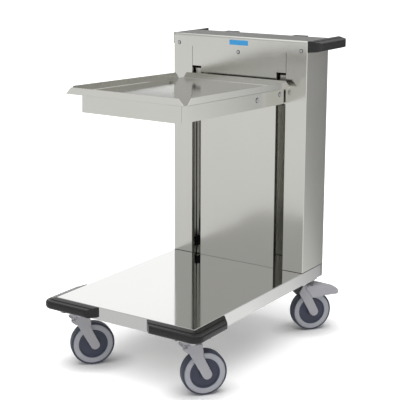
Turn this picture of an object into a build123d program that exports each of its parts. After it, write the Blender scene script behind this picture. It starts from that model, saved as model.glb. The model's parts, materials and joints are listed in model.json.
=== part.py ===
from build123d import *
import os
from math import cos, radians, sin

# Mobile tray dispenser: a wheeled deck, a hollow column and a sprung tray platform that slides on it.
# Lengths are millimetres and angles are degrees.
# X runs across the trolley, Y runs from the front edge of the deck to the back, Z runs up from the floor.
# Everything is modelled about the middle of the deck's front edge and then moved as one piece, so that
# the origin of the frame is the middle of the bounding box on the floor.

# Castors
WHEEL_RADIUS = 62.5
WHEEL_WIDTH = 32
TRAIL = 38
CASTOR_YAW = -40
CROWN_GAP = 5
CROWN_HEIGHT = 19
RACE_RISE = 18
CROWN_FOOT = 2 * WHEEL_RADIUS + CROWN_GAP
FORK_TOP = CROWN_FOOT + CROWN_HEIGHT
CASTOR_HEIGHT = FORK_TOP + RACE_RISE

# Deck and column
DECK_WIDTH = 470
DECK_LENGTH = 712
RAIL_HEIGHT = 38
COLUMN_DEPTH = 132
COLUMN_RISE = 700
SHEET = 1.5
COVER_SHEET = 1.2
EDGE_BEND = 2
COLUMN_BEND = 6
FOOT_BEND = 1.2

# Slots and the seams over them in the column face
SLOT_MIDDLE = 150
SLOT_WIDTH = 33
SLOT_DROP = 97
SLOT_RETURN = 13
SEAM_WIDTH = 1.2
SEAM_HEIGHT = 60
JOINT_WIDTH = 2
JOINT_DEPTH = 1

# Tray platform, tilted up at its front about the foot of the column face
TILT = 1.75
PLATFORM_DROP = 188
SKIRT_HEIGHT = 50.5
SKIRT_SETBACK = 40
SKIRT_BACK = -3
PAN_WIDTH = 390
PAN_SETBACK = 10
PAN_BACK = -20
UPSTAND = 18
ARM_GAP = 5
ARM_WIDTH = 21.5

# Castor places
CASTOR_INSET = 44
CASTOR_FRONT_Y = 43.5
CASTOR_BACK_INSET = 68.5

# Bumpers and handles
BUMPER_ARM_X = 150
BUMPER_ARM_Y = 138
BUMPER_REACH = 30
BUMPER_HEIGHT = 29
HANDLE_REACH = 26
HANDLE_HEIGHT = 33
HANDLE_SETBACK = 3
HANDLE_OVERHANG = 73

# Clearances
RUN_FIT = 0.05
SLIDE_GAP = 0.4
END_GAP = 0.3
STOP_GAP = 2

# What follows from the sizes above
HALF = DECK_WIDTH / 2
INNER_HALF = HALF - SHEET
DECK_FOOT = CASTOR_HEIGHT
DECK_TOP = DECK_FOOT + RAIL_HEIGHT
COLUMN_FRONT = DECK_LENGTH - COLUMN_DEPTH
COLUMN_TOP = DECK_TOP + COLUMN_RISE
COLUMN_CEILING = COLUMN_TOP - SHEET
COVER_FRONT = DECK_LENGTH - COVER_SHEET
CASTOR_X = HALF - CASTOR_INSET
CASTOR_BACK_Y = DECK_LENGTH - CASTOR_BACK_INSET
SLOT_OUT = SLOT_MIDDLE + SLOT_WIDTH / 2
SLOT_IN = SLOT_MIDDLE - SLOT_WIDTH / 2
SLOT_TOP = COLUMN_TOP - SLOT_DROP
ARM_OUT = SLOT_OUT - ARM_GAP
ARM_IN = ARM_OUT - ARM_WIDTH
SKIRT_WIDTH = 2 * (ARM_OUT + SHEET)
SKIRT_FRONT = SKIRT_SETBACK - COLUMN_FRONT
PAN_FRONT = PAN_SETBACK - COLUMN_FRONT
PLATFORM_FOOT = COLUMN_TOP - PLATFORM_DROP
BUMPER_TOP = DECK_TOP - 0.5
HANDLE_TOP = COLUMN_TOP
HANDLE_FRONT = COLUMN_FRONT + HANDLE_SETBACK
HANDLE_BACK = DECK_LENGTH + HANDLE_OVERHANG

nodes = {}


def block(x0, x1, y0, y1, z0, z1):
    """A box between two opposite corners."""
    return Pos((x0 + x1) / 2, (y0 + y1) / 2, (z0 + z1) / 2) * Box(x1 - x0, y1 - y0, z1 - z0)


def rod(start, direction, radius, length):
    """A round bar from a start point along a direction."""
    return Plane(origin=start, z_dir=direction) * Cylinder(
        radius, length, align=(Align.CENTER, Align.CENTER, Align.MIN)
    )


def screw_head(start, direction, radius, height):
    """A low domed screw head with a cross recess."""
    head = Cylinder(radius, height, align=(Align.CENTER, Align.CENTER, Align.MIN))
    head = fillet(head.edges().group_by(Axis.Z)[-1], height * 0.6)
    recess_depth = height * 0.5
    arm = radius * 1.1
    recess = Box(arm, arm * 0.22, recess_depth) + Box(arm * 0.22, arm, recess_depth)
    head -= Pos(0, 0, height - recess_depth / 2) * recess
    return Plane(origin=start, z_dir=direction) * head


def swept_prism(points, low, high):
    """A prism along X with an outline given as (y, z) points."""
    face = make_face(Polyline(*points, close=True))
    return Pos(low, 0, 0) * extrude(Plane.YZ * face, high - low)


# Deck

CHANNEL_HALF = 42
CHANNEL_SHEET = 2.5
DECK_FLANGE = 12
JOINT_INSET = 14


def channel_spans():
    """The front and back limits of the two castor channels."""
    front = (SHEET, CASTOR_FRONT_Y + CHANNEL_HALF)
    back = (CASTOR_BACK_Y - CHANNEL_HALF, CASTOR_BACK_Y + CHANNEL_HALF)
    return front, back


def base_deck():
    """The folded deck: top sheet, four aprons with a joint near each back corner, flanges under them."""
    outer = block(-HALF, HALF, 0, DECK_LENGTH, DECK_FOOT, DECK_TOP)
    outer = fillet(outer.edges().filter_by(Axis.Z), EDGE_BEND)
    outer = fillet(outer.edges().group_by(Axis.Z)[-1], EDGE_BEND)
    deck = outer - block(
        -INNER_HALF, INNER_HALF, SHEET, DECK_LENGTH - SHEET, DECK_FOOT, DECK_TOP - SHEET
    )
    inner = INNER_HALF - DECK_FLANGE
    flange_top = DECK_FOOT + SHEET
    flange = block(-INNER_HALF, INNER_HALF, SHEET, DECK_LENGTH - SHEET, DECK_FOOT, flange_top)
    flange -= block(
        -inner, inner, SHEET + DECK_FLANGE, DECK_LENGTH - SHEET - DECK_FLANGE, DECK_FOOT, flange_top
    )
    for low, high in channel_spans():
        flange -= block(-INNER_HALF, INNER_HALF, low, high, DECK_FOOT, flange_top)
    deck += flange
    joint_front = DECK_LENGTH - JOINT_INSET
    for side in (-1, 1):
        groove = (side * (HALF - JOINT_DEPTH), side * HALF)
        deck -= block(
            min(groove), max(groove), joint_front, joint_front + JOINT_WIDTH, DECK_FOOT, DECK_TOP - EDGE_BEND
        )
    return deck


BOLT_PITCH = 60
BOLT_RADIUS = 4
BOLT_CLEARANCE = 0.2


def bolt_places(pivot_x, pivot_y):
    """The four bolt places round a castor's pivot."""
    half = BOLT_PITCH / 2
    return [(pivot_x + sx * half, pivot_y + sy * half) for sx in (-1, 1) for sy in (-1, 1)]


def castor_channel(low, high, pivot_y):
    """A channel across the underside of the deck that carries two castors."""
    top = DECK_TOP - SHEET
    channel = block(-INNER_HALF, INNER_HALF, low, high, DECK_FOOT, top)
    channel -= block(
        -INNER_HALF, INNER_HALF, low + CHANNEL_SHEET, high - CHANNEL_SHEET, DECK_FOOT + CHANNEL_SHEET, top
    )
    for side in (-1, 1):
        for x, y in bolt_places(side * CASTOR_X, pivot_y):
            hole = rod((x, y, DECK_FOOT), (0, 0, 1), BOLT_RADIUS + BOLT_CLEARANCE, CHANNEL_SHEET)
            channel -= hole
    return channel


# Column

COLUMN_FLANGE = 14


def folded_box(half, front, back, foot, top, bend, side_bend, foot_bend):
    """A box whose top is folded to the front and the sides, with rounded front corners and foot."""
    plain = block(-half, half, front, back, foot, top)
    plan = fillet(plain.edges().filter_by(Axis.Z).group_by(Axis.Y)[0], side_bend)
    elevation = fillet(plain.edges().filter_by(Axis.X).group_by(Axis.Z)[-1].sort_by(Axis.Y)[0], bend)
    cross = fillet(plain.edges().filter_by(Axis.Y).group_by(Axis.Z)[-1], bend)
    if foot_bend:
        foot_edge = elevation.edges().filter_by(Axis.X).group_by(Axis.Z)[0].sort_by(Axis.Y)[0]
        elevation = fillet(foot_edge, foot_bend)
        cross = fillet(cross.edges().filter_by(Axis.Y).group_by(Axis.Z)[0], foot_bend)
    return plan & elevation & cross


def column_housing():
    """Front, sides and top of the column in one folded sheet, with the two guide slots."""
    outer = folded_box(
        HALF, COLUMN_FRONT, COVER_FRONT, DECK_TOP, COLUMN_TOP, COLUMN_BEND, EDGE_BEND, FOOT_BEND
    )
    inner = folded_box(
        INNER_HALF, COLUMN_FRONT + SHEET, COVER_FRONT, DECK_TOP, COLUMN_CEILING,
        COLUMN_BEND - SHEET, EDGE_BEND / 2, 0,
    )
    housing = outer - inner
    flange_in = INNER_HALF - COLUMN_FLANGE
    back_flange = COVER_FRONT - SHEET
    rim = block(-INNER_HALF, INNER_HALF, back_flange, COVER_FRONT, DECK_TOP, COLUMN_CEILING)
    rim -= block(
        -flange_in, flange_in, back_flange, COVER_FRONT, DECK_TOP, COLUMN_CEILING - COLUMN_FLANGE
    )
    housing += rim & outer
    face_back = COLUMN_FRONT + SHEET
    for side in (-1, 1):
        edge = side * INNER_HALF
        foot_in = side * (INNER_HALF - COLUMN_FLANGE)
        housing += block(
            min(edge, foot_in), max(edge, foot_in), face_back, back_flange, DECK_TOP, DECK_TOP + SHEET
        )
        for inward, outward in ((SLOT_IN - SHEET, SLOT_IN), (SLOT_OUT, SLOT_OUT + SHEET)):
            wall = (side * inward, side * outward)
            housing += block(
                min(wall), max(wall), face_back, face_back + SLOT_RETURN, DECK_TOP, SLOT_TOP
            )
        slot = (side * SLOT_IN, side * SLOT_OUT)
        housing -= block(min(slot), max(slot), COLUMN_FRONT, face_back, DECK_TOP, SLOT_TOP)
        seam_x = side * (SLOT_OUT - SEAM_WIDTH / 2)
        housing -= block(
            seam_x - SEAM_WIDTH / 2, seam_x + SEAM_WIDTH / 2,
            COLUMN_FRONT, face_back, SLOT_TOP, SLOT_TOP + SEAM_HEIGHT,
        )
    return housing


COVER_REVEAL = 0.8


def column_rear_cover():
    """The flat screwed cover that closes the back of the column."""
    edge = HALF - COVER_REVEAL
    cover = block(-edge, edge, COVER_FRONT, DECK_LENGTH, DECK_TOP + COVER_REVEAL, COLUMN_TOP - COVER_REVEAL)
    return fillet(cover.edges().filter_by(Axis.Y), COLUMN_BEND - COVER_REVEAL)


SCREW_RADIUS = 4.5
SCREW_HEIGHT = 2.4
FACE_SCREW_INSET = 20
FACE_SCREW_DROP = 29
MIDDLE_SCREW_DROP = 46
COVER_SCREW_INSET = 9
COVER_SCREW_END = 30


def column_face_screws():
    """Three screws in the upper part of the column face."""
    outer_x = HALF - FACE_SCREW_INSET
    outer_z = COLUMN_TOP - FACE_SCREW_DROP
    places = [(-outer_x, outer_z), (0, COLUMN_TOP - MIDDLE_SCREW_DROP), (outer_x, outer_z)]
    return [screw_head((x, COLUMN_FRONT, z), (0, -1, 0), SCREW_RADIUS, SCREW_HEIGHT) for x, z in places]


def rear_cover_screws():
    """Six screws that hold the rear cover."""
    low = DECK_TOP + COVER_SCREW_END
    high = COLUMN_TOP - COVER_SCREW_END
    edge = HALF - COVER_SCREW_INSET
    places = [(side * edge, z) for side in (-1, 1) for z in (low, (low + high) / 2, high)]
    return [screw_head((x, DECK_LENGTH, z), (0, 1, 0), SCREW_RADIUS, SCREW_HEIGHT) for x, z in places]


LABEL_LEFT = -31
LABEL_RIGHT = 34
LABEL_HEIGHT = 15
LABEL_DROP = 10
LABEL_THICK = 0.6


def blank_label_plate():
    """A plain plate without text near the top of the column face."""
    high = COLUMN_TOP - LABEL_DROP
    plate = block(
        LABEL_LEFT, LABEL_RIGHT, COLUMN_FRONT - LABEL_THICK, COLUMN_FRONT, high - LABEL_HEIGHT, high
    )
    return fillet(plate.edges().filter_by(Axis.Y), 1.5)


# Guide rails, stops and springs inside the column

RAIL_WIDTH = 30
RAIL_DEPTH = 25
RAIL_SETBACK = 26
RAIL_WALL = 2.5
GROOVE = 7
RAIL_IN = SLOT_OUT + 8.5
RAIL_OUT = RAIL_IN + RAIL_WIDTH
RAIL_FRONT = COLUMN_FRONT + RAIL_SETBACK
RAIL_BACK = RAIL_FRONT + RAIL_DEPTH
RAIL_MIDDLE_Y = (RAIL_FRONT + RAIL_BACK) / 2
BRACKET_HEIGHT = 30
BRACKET_RISE = 95
BRACKET_DROP = 105
BRACKET_Z = (DECK_TOP + BRACKET_RISE, COLUMN_TOP - BRACKET_DROP)
STOP_RISE = 17
STOP_HEIGHT = 28
STOP_SEAT = DECK_TOP + STOP_RISE
STOP_TOP = STOP_SEAT + STOP_HEIGHT
STOP_IN = ARM_OUT + STOP_GAP


def guide_rail(side):
    """A lipped C rail with its brackets to the column side and the seat of the lower stop."""
    rail = block(RAIL_IN, RAIL_OUT, RAIL_FRONT, RAIL_BACK, DECK_TOP, COLUMN_CEILING)
    rail -= block(
        RAIL_IN + RAIL_WALL, RAIL_OUT - RAIL_WALL, RAIL_FRONT + RAIL_WALL, RAIL_BACK - RAIL_WALL,
        DECK_TOP, COLUMN_CEILING,
    )
    rail -= block(
        RAIL_IN, RAIL_IN + RAIL_WALL, RAIL_MIDDLE_Y - GROOVE / 2, RAIL_MIDDLE_Y + GROOVE / 2,
        DECK_TOP, COLUMN_CEILING,
    )
    for z in BRACKET_Z:
        top = z + BRACKET_HEIGHT
        rail += block(RAIL_OUT, INNER_HALF, RAIL_FRONT, RAIL_FRONT + RAIL_WALL, z, top)
        rail += block(INNER_HALF - RAIL_WALL, INNER_HALF, RAIL_FRONT, RAIL_BACK, z, top)
    seat_low = STOP_SEAT - RAIL_WALL
    for low, high in ((RAIL_FRONT, RAIL_MIDDLE_Y - GROOVE / 2), (RAIL_MIDDLE_Y + GROOVE / 2, RAIL_BACK)):
        rail += block(STOP_IN, RAIL_IN, low, high, seat_low, STOP_SEAT)
    rail += block(STOP_IN, STOP_IN + RAIL_WALL, RAIL_FRONT, RAIL_BACK, seat_low, STOP_SEAT)
    return rail if side > 0 else mirror(rail, Plane.YZ)


HANGER_SHEET = 3
HANGER_DROP = 25
HANGER_DEPTH = 48
HANGER_LOW = COLUMN_TOP - HANGER_DROP
HANGER_FRONT = RAIL_BACK + 3
HANGER_BACK = HANGER_FRONT + HANGER_DEPTH
SPRING_Y = HANGER_FRONT + 31


def spring_hanger_bar():
    """The angle bar under the column top from which the springs hang."""
    bar = block(-INNER_HALF, INNER_HALF, HANGER_FRONT, HANGER_BACK, HANGER_LOW, HANGER_LOW + HANGER_SHEET)
    leg_half = INNER_HALF - COLUMN_BEND
    leg_front = HANGER_BACK - HANGER_SHEET
    bar += block(-leg_half, leg_half, leg_front, HANGER_BACK, HANGER_LOW + HANGER_SHEET, COLUMN_CEILING)
    for side in (-1, 1):
        rail = (side * (RAIL_IN - 1), side * (RAIL_OUT + 1))
        bar -= block(
            min(rail), max(rail), HANGER_FRONT, HANGER_FRONT + 2, HANGER_LOW, HANGER_LOW + HANGER_SHEET
        )
    return bar


CARRIAGE_SHEET = 3
CARRIAGE_HEIGHT = 130
CARRIAGE_BACK = RAIL_BACK + 9
CARRIAGE_HALF = RAIL_IN - 2.5
CARRIAGE_TOP = HANGER_LOW - 8
CHEEK_FOOT = CARRIAGE_TOP - CARRIAGE_HEIGHT
CHEEK_FRONT = RAIL_FRONT - 8
CHEEK_SHEET = 4
TONGUE_HALF = 130
TONGUE_HEIGHT = 42
SPRING_BAR_Z = CHEEK_FOOT - TONGUE_HEIGHT
TRAVEL = CHEEK_FOOT - STOP_TOP - STOP_GAP
UPPER_STOP_X = (90, 114)


def travel_stop_pads():
    """Rubber pads that end the travel: two under the hanger bar and two on the rail seats."""
    pads = []
    for side in (-1, 1):
        upper = (side * UPPER_STOP_X[0], side * UPPER_STOP_X[1])
        pads.append(block(
            min(upper), max(upper), CARRIAGE_BACK - 4, CARRIAGE_BACK + 7,
            CARRIAGE_TOP + END_GAP, HANGER_LOW,
        ))
        lower = (side * STOP_IN, side * (RAIL_IN - END_GAP))
        pads.append(block(min(lower), max(lower), RAIL_FRONT, RAIL_BACK, STOP_SEAT, STOP_TOP))
    return pads


SPRING_RADIUS = 9
SPRING_WIRE = 3
SPRING_X = (TONGUE_HALF - 70, TONGUE_HALF - 30)


def tension_spring(x):
    """A close-wound tension spring, drawn as one ring for each turn round a hollow core."""
    low = SPRING_BAR_Z + HANGER_SHEET
    high = HANGER_LOW
    hook = 12
    turns = int((high - low - 2 * hook) / SPRING_WIRE)
    body_low = (low + high - turns * SPRING_WIRE) / 2
    inner = SPRING_RADIUS - SPRING_WIRE
    depth = SPRING_WIRE * 0.28
    points = [(inner, body_low)]
    for turn in range(turns):
        foot = body_low + turn * SPRING_WIRE
        points.append((SPRING_RADIUS - depth, foot))
        points.append((SPRING_RADIUS, foot + SPRING_WIRE * 0.3))
        points.append((SPRING_RADIUS, foot + SPRING_WIRE * 0.7))
    body_high = body_low + turns * SPRING_WIRE
    points.append((SPRING_RADIUS - depth, body_high))
    points.append((inner, body_high))
    coil = revolve(Plane.XZ * make_face(Polyline(*points, close=True)), Axis.Z)
    for end, toward in ((body_low, low), (body_high, high)):
        plug_low = min(end, toward)
        plug_high = max(end, toward)
        coil += Pos(0, 0, (plug_low + plug_high) / 2) * Box(SPRING_WIRE, inner * 2, plug_high - plug_low)
        ring = Cylinder(inner + 1, SPRING_WIRE, align=(Align.CENTER, Align.CENTER, Align.MIN))
        lid_foot = end if toward < end else end - SPRING_WIRE
        coil += Pos(0, 0, lid_foot) * ring
    return Pos(x, SPRING_Y, 0) * coil


# Platform

ARM_REACH = 199
ARM_LOW = 3
ARM_HIGH = 39
ARM_WALL = 2
UPRIGHT_FRONT = COLUMN_FRONT + SLOT_RETURN
UPRIGHT_FOOT = PLATFORM_FOOT - 3
UPRIGHT_TOP = SLOT_TOP - 9
UPRIGHT_WALL = 3
ROLLER_Z = (CHEEK_FOOT + 15, CARRIAGE_TOP - 15)
ROLLER_RADIUS = RAIL_DEPTH / 2 - RAIL_WALL - SLIDE_GAP
ROLLER_IN = RAIL_IN + 5
ROLLER_WIDTH = 12
STUD_RADIUS = 3
FRAME_SCREWS = [(-159, 25), (-30, 30)]


def tilted(shape):
    """Place a shape drawn about the foot of the column face into the tilted platform."""
    return Pos(0, COLUMN_FRONT, PLATFORM_FOOT) * Rot(-TILT, 0, 0) * shape


def carriage_plate():
    """The sliding plate with its two cheeks and the studs of the four rollers."""
    back = CARRIAGE_BACK + CARRIAGE_SHEET
    plate = block(-CARRIAGE_HALF, CARRIAGE_HALF, CARRIAGE_BACK, back, CHEEK_FOOT, CARRIAGE_TOP)
    plate += block(-TONGUE_HALF, TONGUE_HALF, CARRIAGE_BACK, back, SPRING_BAR_Z, CHEEK_FOOT)
    for side in (-1, 1):
        cheek = (side * (CARRIAGE_HALF - CHEEK_SHEET), side * CARRIAGE_HALF)
        plate += block(min(cheek), max(cheek), CHEEK_FRONT, CARRIAGE_BACK, CHEEK_FOOT, CARRIAGE_TOP)
        for z in ROLLER_Z:
            start = (side * CARRIAGE_HALF, RAIL_MIDDLE_Y, z)
            stud_end = ROLLER_IN + ROLLER_WIDTH + END_GAP
            plate += rod(start, (side, 0, 0), STUD_RADIUS, stud_end - CARRIAGE_HALF)
            head = (side * stud_end, RAIL_MIDDLE_Y, z)
            plate += rod(head, (side, 0, 0), STUD_RADIUS + 2, 2)
            collar_gap = RAIL_IN + RAIL_WALL + END_GAP
            collar = (side * collar_gap, RAIL_MIDDLE_Y, z)
            plate += rod(collar, (side, 0, 0), STUD_RADIUS + 2, ROLLER_IN - END_GAP - collar_gap)
    return plate


def guide_roller(side, z):
    """A plastic roller that runs inside a guide rail."""
    start = (side * ROLLER_IN, RAIL_MIDDLE_Y, z)
    roller = rod(start, (side, 0, 0), ROLLER_RADIUS, ROLLER_WIDTH)
    roller = fillet(roller.edges().filter_by(GeomType.CIRCLE), 1)
    return roller - rod(start, (side, 0, 0), STUD_RADIUS + RUN_FIT, ROLLER_WIDTH)


def platform_arm(side):
    """A hollow arm through a slot, screwed to the skirt, with its upright on the carriage."""
    arm = block(ARM_IN, ARM_OUT, -ARM_REACH, 30, ARM_LOW, ARM_HIGH)
    arm -= block(ARM_IN + ARM_WALL, ARM_OUT - ARM_WALL, ARM_WALL - ARM_REACH, 30,
                 ARM_LOW + ARM_WALL, ARM_HIGH - ARM_WALL)
    arm = tilted(arm)
    arm -= block(0, HALF, UPRIGHT_FRONT, CARRIAGE_BACK, 0, COLUMN_TOP)
    upright = block(ARM_IN, ARM_OUT, UPRIGHT_FRONT, CARRIAGE_BACK, UPRIGHT_FOOT, UPRIGHT_TOP)
    upright -= block(
        ARM_IN + UPRIGHT_WALL, ARM_OUT - UPRIGHT_WALL, UPRIGHT_FRONT + UPRIGHT_WALL, CARRIAGE_BACK,
        UPRIGHT_FOOT, UPRIGHT_TOP,
    )
    arm += upright
    return arm if side > 0 else mirror(arm, Plane.YZ)


SPRING_BAR_LEG = 25


def spring_lower_bar():
    """The angle bar at the foot of the carriage plate that the springs pull up."""
    back = CARRIAGE_BACK + CARRIAGE_SHEET
    ledge = SPRING_BAR_Z + HANGER_SHEET
    bar = block(-TONGUE_HALF, TONGUE_HALF, back, HANGER_BACK, SPRING_BAR_Z, ledge)
    bar += block(
        -TONGUE_HALF, TONGUE_HALF, back, back + HANGER_SHEET, ledge, SPRING_BAR_Z + SPRING_BAR_LEG
    )
    return bar


def tray_support_frame():
    """The folded skirt under the pan: front, two sides, a back web and the flanges turned in on top."""
    half = SKIRT_WIDTH / 2
    skirt = block(-half, half, SKIRT_FRONT, SKIRT_BACK, 0, SKIRT_HEIGHT)
    front_edges = skirt.edges().filter_by(Axis.Z).group_by(Axis.Y)[0]
    skirt = fillet(front_edges, EDGE_BEND)
    skirt -= block(-half + SHEET, half - SHEET, SKIRT_FRONT + SHEET, SKIRT_BACK, 0, SKIRT_HEIGHT)
    seam_front = SKIRT_FRONT + EDGE_BEND + 0.5
    for side in (-1, 1):
        groove = (side * (half - JOINT_DEPTH), side * half)
        skirt -= block(min(groove), max(groove), seam_front, seam_front + JOINT_WIDTH, 0, SKIRT_HEIGHT)
    flange = 15
    top = SKIRT_HEIGHT - SHEET
    for side in (-1, 1):
        strip = (side * (half - SHEET - flange), side * (half - SHEET))
        skirt += block(min(strip), max(strip), SKIRT_FRONT + SHEET, SKIRT_BACK, top, SKIRT_HEIGHT)
    skirt += block(
        -half + SHEET, half - SHEET, SKIRT_FRONT + SHEET, SKIRT_FRONT + SHEET + flange, top, SKIRT_HEIGHT
    )
    web_half = ARM_IN - 3
    web_back = SKIRT_BACK - 6
    skirt += block(-web_half, web_half, web_back - SHEET, web_back, 0, SKIRT_HEIGHT)
    skirt += block(-half + SHEET, half - SHEET, web_back - flange, web_back, top, SKIRT_HEIGHT)
    return tilted(skirt)


PAN_CORNER_X = 1.5
PAN_CORNER_Y = 15
PAN_BEND = 2.5


def folded_tray(x, front, back, low, floor, rim, across):
    """A floor with two upstands folded up from it, at its two ends or along its two sides."""
    along = Axis.Y if across else Axis.X
    outer = block(-x, x, front, back, low, rim)
    outer = fillet(outer.edges().filter_by(along).group_by(Axis.Z)[0], PAN_BEND)
    if across:
        inner = block(-x + SHEET, x - SHEET, front, back, floor, rim)
    else:
        inner = block(-x, x, front + SHEET, back - SHEET, floor, rim)
    return outer - fillet(inner.edges().filter_by(along).group_by(Axis.Z)[0], PAN_BEND - SHEET)


def tray_pan():
    """The shallow pan for the trays: a floor and four upstands with ends cut at 45 degrees."""
    half = PAN_WIDTH / 2
    floor_top = SKIRT_HEIGHT + SHEET
    rim = floor_top + UPSTAND
    end_low = half - PAN_CORNER_X
    end_high = end_low - UPSTAND
    cross = Polyline(
        (-end_low, SKIRT_HEIGHT), (end_low, SKIRT_HEIGHT), (end_low, floor_top),
        (end_high, rim), (-end_high, rim), (-end_low, floor_top), close=True,
    )
    ends = folded_tray(end_low, PAN_FRONT, PAN_BACK, SKIRT_HEIGHT, floor_top, rim, False)
    ends &= Pos(0, PAN_FRONT, 0) * extrude(Plane.XZ * make_face(cross), PAN_FRONT - PAN_BACK)
    front = PAN_FRONT + PAN_CORNER_Y
    back = PAN_BACK - PAN_CORNER_Y
    side_outline = [
        (front, SKIRT_HEIGHT), (back, SKIRT_HEIGHT), (back, floor_top),
        (back - UPSTAND, rim), (front + UPSTAND, rim), (front, floor_top),
    ]
    sides = folded_tray(half, front, back, SKIRT_HEIGHT, floor_top, rim, True)
    sides &= swept_prism(side_outline, -half, half)
    return tilted(ends + sides)


def tray_frame_screws():
    """Four screws through the skirt sides into the arms."""
    half = SKIRT_WIDTH / 2
    heads = []
    for side in (-1, 1):
        for y, h in FRAME_SCREWS:
            heads.append(tilted(screw_head((side * half, y, h), (side, 0, 0), 6, 2.6)))
    return heads


# Bumpers, handles and rear buffers

GUARD_REACH = 30
GUARD_OUTLINE = [
    (0, 0), (2.5, 0.3), (12, -1.8), (14.5, -2.6), (15, -4.8), (16.6, -4.8), (17.2, -3.6), (21, -5.2),
]
GUARD_NOSE = 9


def guard_profile(reach, height):
    """Cross-section of the plastic guard: crowned top with a thin groove, rounded outer face, flat back."""
    shift = reach - GUARD_REACH
    crest = [(w + (shift if w > GUARD_NOSE else 0), z) for w, z in GUARD_OUTLINE]
    face_top = (reach, crest[-1][1] - GUARD_NOSE)
    face_low = (reach, -height + GUARD_NOSE)
    knuckle = ThreePointArc(
        crest[-1], (reach - GUARD_NOSE * 0.26, crest[-1][1] - GUARD_NOSE * 0.32), face_top
    )
    toe = ThreePointArc(
        face_low, (reach - GUARD_NOSE * 0.29, -height + GUARD_NOSE * 0.29), (reach - GUARD_NOSE, -height)
    )
    line = Polyline(*crest)
    down = Line(face_top, face_low)
    under = Line((reach - GUARD_NOSE, -height), (0, -height))
    back = Line((0, -height), (0, 0))
    return make_face([line, knuckle, down, toe, under, back])


BUMPER_BEVEL = 25
NIB_RADIUS = 3
NIB_HEIGHT = 3.5
NIB_INSET = 45
NIB_REACH = 18


def corner_bumper(side):
    """An L-shaped guard round a front corner of the deck."""
    face = guard_profile(BUMPER_REACH, BUMPER_HEIGHT)
    arm_x = Plane(origin=(HALF, 0, BUMPER_TOP), x_dir=(0, -1, 0), z_dir=(-1, 0, 0)) * face
    front = extrude(arm_x, BUMPER_ARM_X)
    arm_y = Plane(origin=(HALF, 0, BUMPER_TOP), x_dir=(1, 0, 0), z_dir=(0, -1, 0)) * face
    flank = extrude(arm_y, -BUMPER_ARM_Y)
    corner = revolve(arm_y, Axis((HALF, 0, 0), (0, 0, 1)), -90)
    bumper = front + flank + corner
    inner_x = HALF - BUMPER_ARM_X
    bumper_foot = BUMPER_TOP - BUMPER_HEIGHT
    wedge = Polyline(
        (inner_x, -BUMPER_REACH - 1), (inner_x + BUMPER_BEVEL + 1, -BUMPER_REACH - 1),
        (inner_x, -BUMPER_REACH + BUMPER_BEVEL), close=True,
    )
    cut_foot = bumper_foot - 1
    cut_height = BUMPER_HEIGHT + 5
    bumper -= Pos(0, 0, cut_foot) * extrude(make_face(wedge), cut_height)
    reach_x = HALF + BUMPER_REACH
    wedge = Polyline(
        (reach_x + 1, BUMPER_ARM_Y), (reach_x + 1, BUMPER_ARM_Y - BUMPER_BEVEL - 1),
        (reach_x - BUMPER_BEVEL, BUMPER_ARM_Y), close=True,
    )
    bumper -= Pos(0, 0, cut_foot) * extrude(make_face(wedge), cut_height)
    for x, y in ((HALF - NIB_INSET, -NIB_REACH), (HALF + NIB_REACH, NIB_INSET)):
        bumper += rod((x, y, bumper_foot - NIB_HEIGHT), (0, 0, 1), NIB_RADIUS, NIB_HEIGHT)
    return bumper if side > 0 else mirror(bumper, Plane.YZ)


HANDLE_LIP = 3
HANDLE_NOSE = 43
HANDLE_TIP = 13
HANDLE_ROUND = 14


def push_handle(side):
    """A guard bar along the column side that runs out behind it as a grip."""
    face = guard_profile(HANDLE_REACH, HANDLE_HEIGHT)
    end = Plane(origin=(HALF, HANDLE_FRONT, HANDLE_TOP), x_dir=(1, 0, 0), z_dir=(0, -1, 0)) * face
    bar = extrude(end, -(HANDLE_BACK - HANDLE_FRONT))
    outer = HALF + HANDLE_REACH
    nose_back = HANDLE_FRONT + HANDLE_NOSE
    tip_front = HANDLE_BACK - HANDLE_TIP
    outline = make_face([
        Line((HALF, HANDLE_FRONT), (HALF + HANDLE_LIP, HANDLE_FRONT)),
        Spline((HALF + HANDLE_LIP, HANDLE_FRONT), (outer, nose_back), tangents=[(0.56, 1), (0.16, 1)]),
        Line((outer, nose_back), (outer, tip_front)),
        ThreePointArc((outer, tip_front), (HALF + HANDLE_REACH / 2, HANDLE_BACK), (HALF, tip_front)),
        Line((HALF, tip_front), (HALF, HANDLE_FRONT)),
    ])
    foot = HANDLE_TOP - HANDLE_HEIGHT
    bar &= Pos(0, 0, foot - 1) * extrude(outline, HANDLE_HEIGHT + 5)
    rounded = block(0, outer + 1, HANDLE_FRONT, HANDLE_BACK, foot, HANDLE_TOP + 1)
    bar &= fillet(rounded.edges().filter_by(Axis.X).group_by(Axis.Y)[-1], HANDLE_ROUND)
    return bar if side > 0 else mirror(bar, Plane.YZ)


BUFFER_X = 123
BUFFER_WIDTH = 42
BUFFER_DEPTH = 45
BUFFER_DROP = 1.5
BUFFER_HEIGHT = 28


def rear_buffer_pads():
    """Two wall buffers at the top of the column's back."""
    pads = []
    top = COLUMN_TOP - BUFFER_DROP
    for side in (-1, 1):
        x = side * BUFFER_X
        pad = block(
            x - BUFFER_WIDTH / 2, x + BUFFER_WIDTH / 2, DECK_LENGTH, DECK_LENGTH + BUFFER_DEPTH,
            top - BUFFER_HEIGHT, top,
        )
        pads.append(fillet(pad.faces().sort_by(Axis.Y)[-1].edges(), 6))
    return pads


# Castors, drawn with the trail along X, the axle along Y and the pivot at the origin

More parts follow.
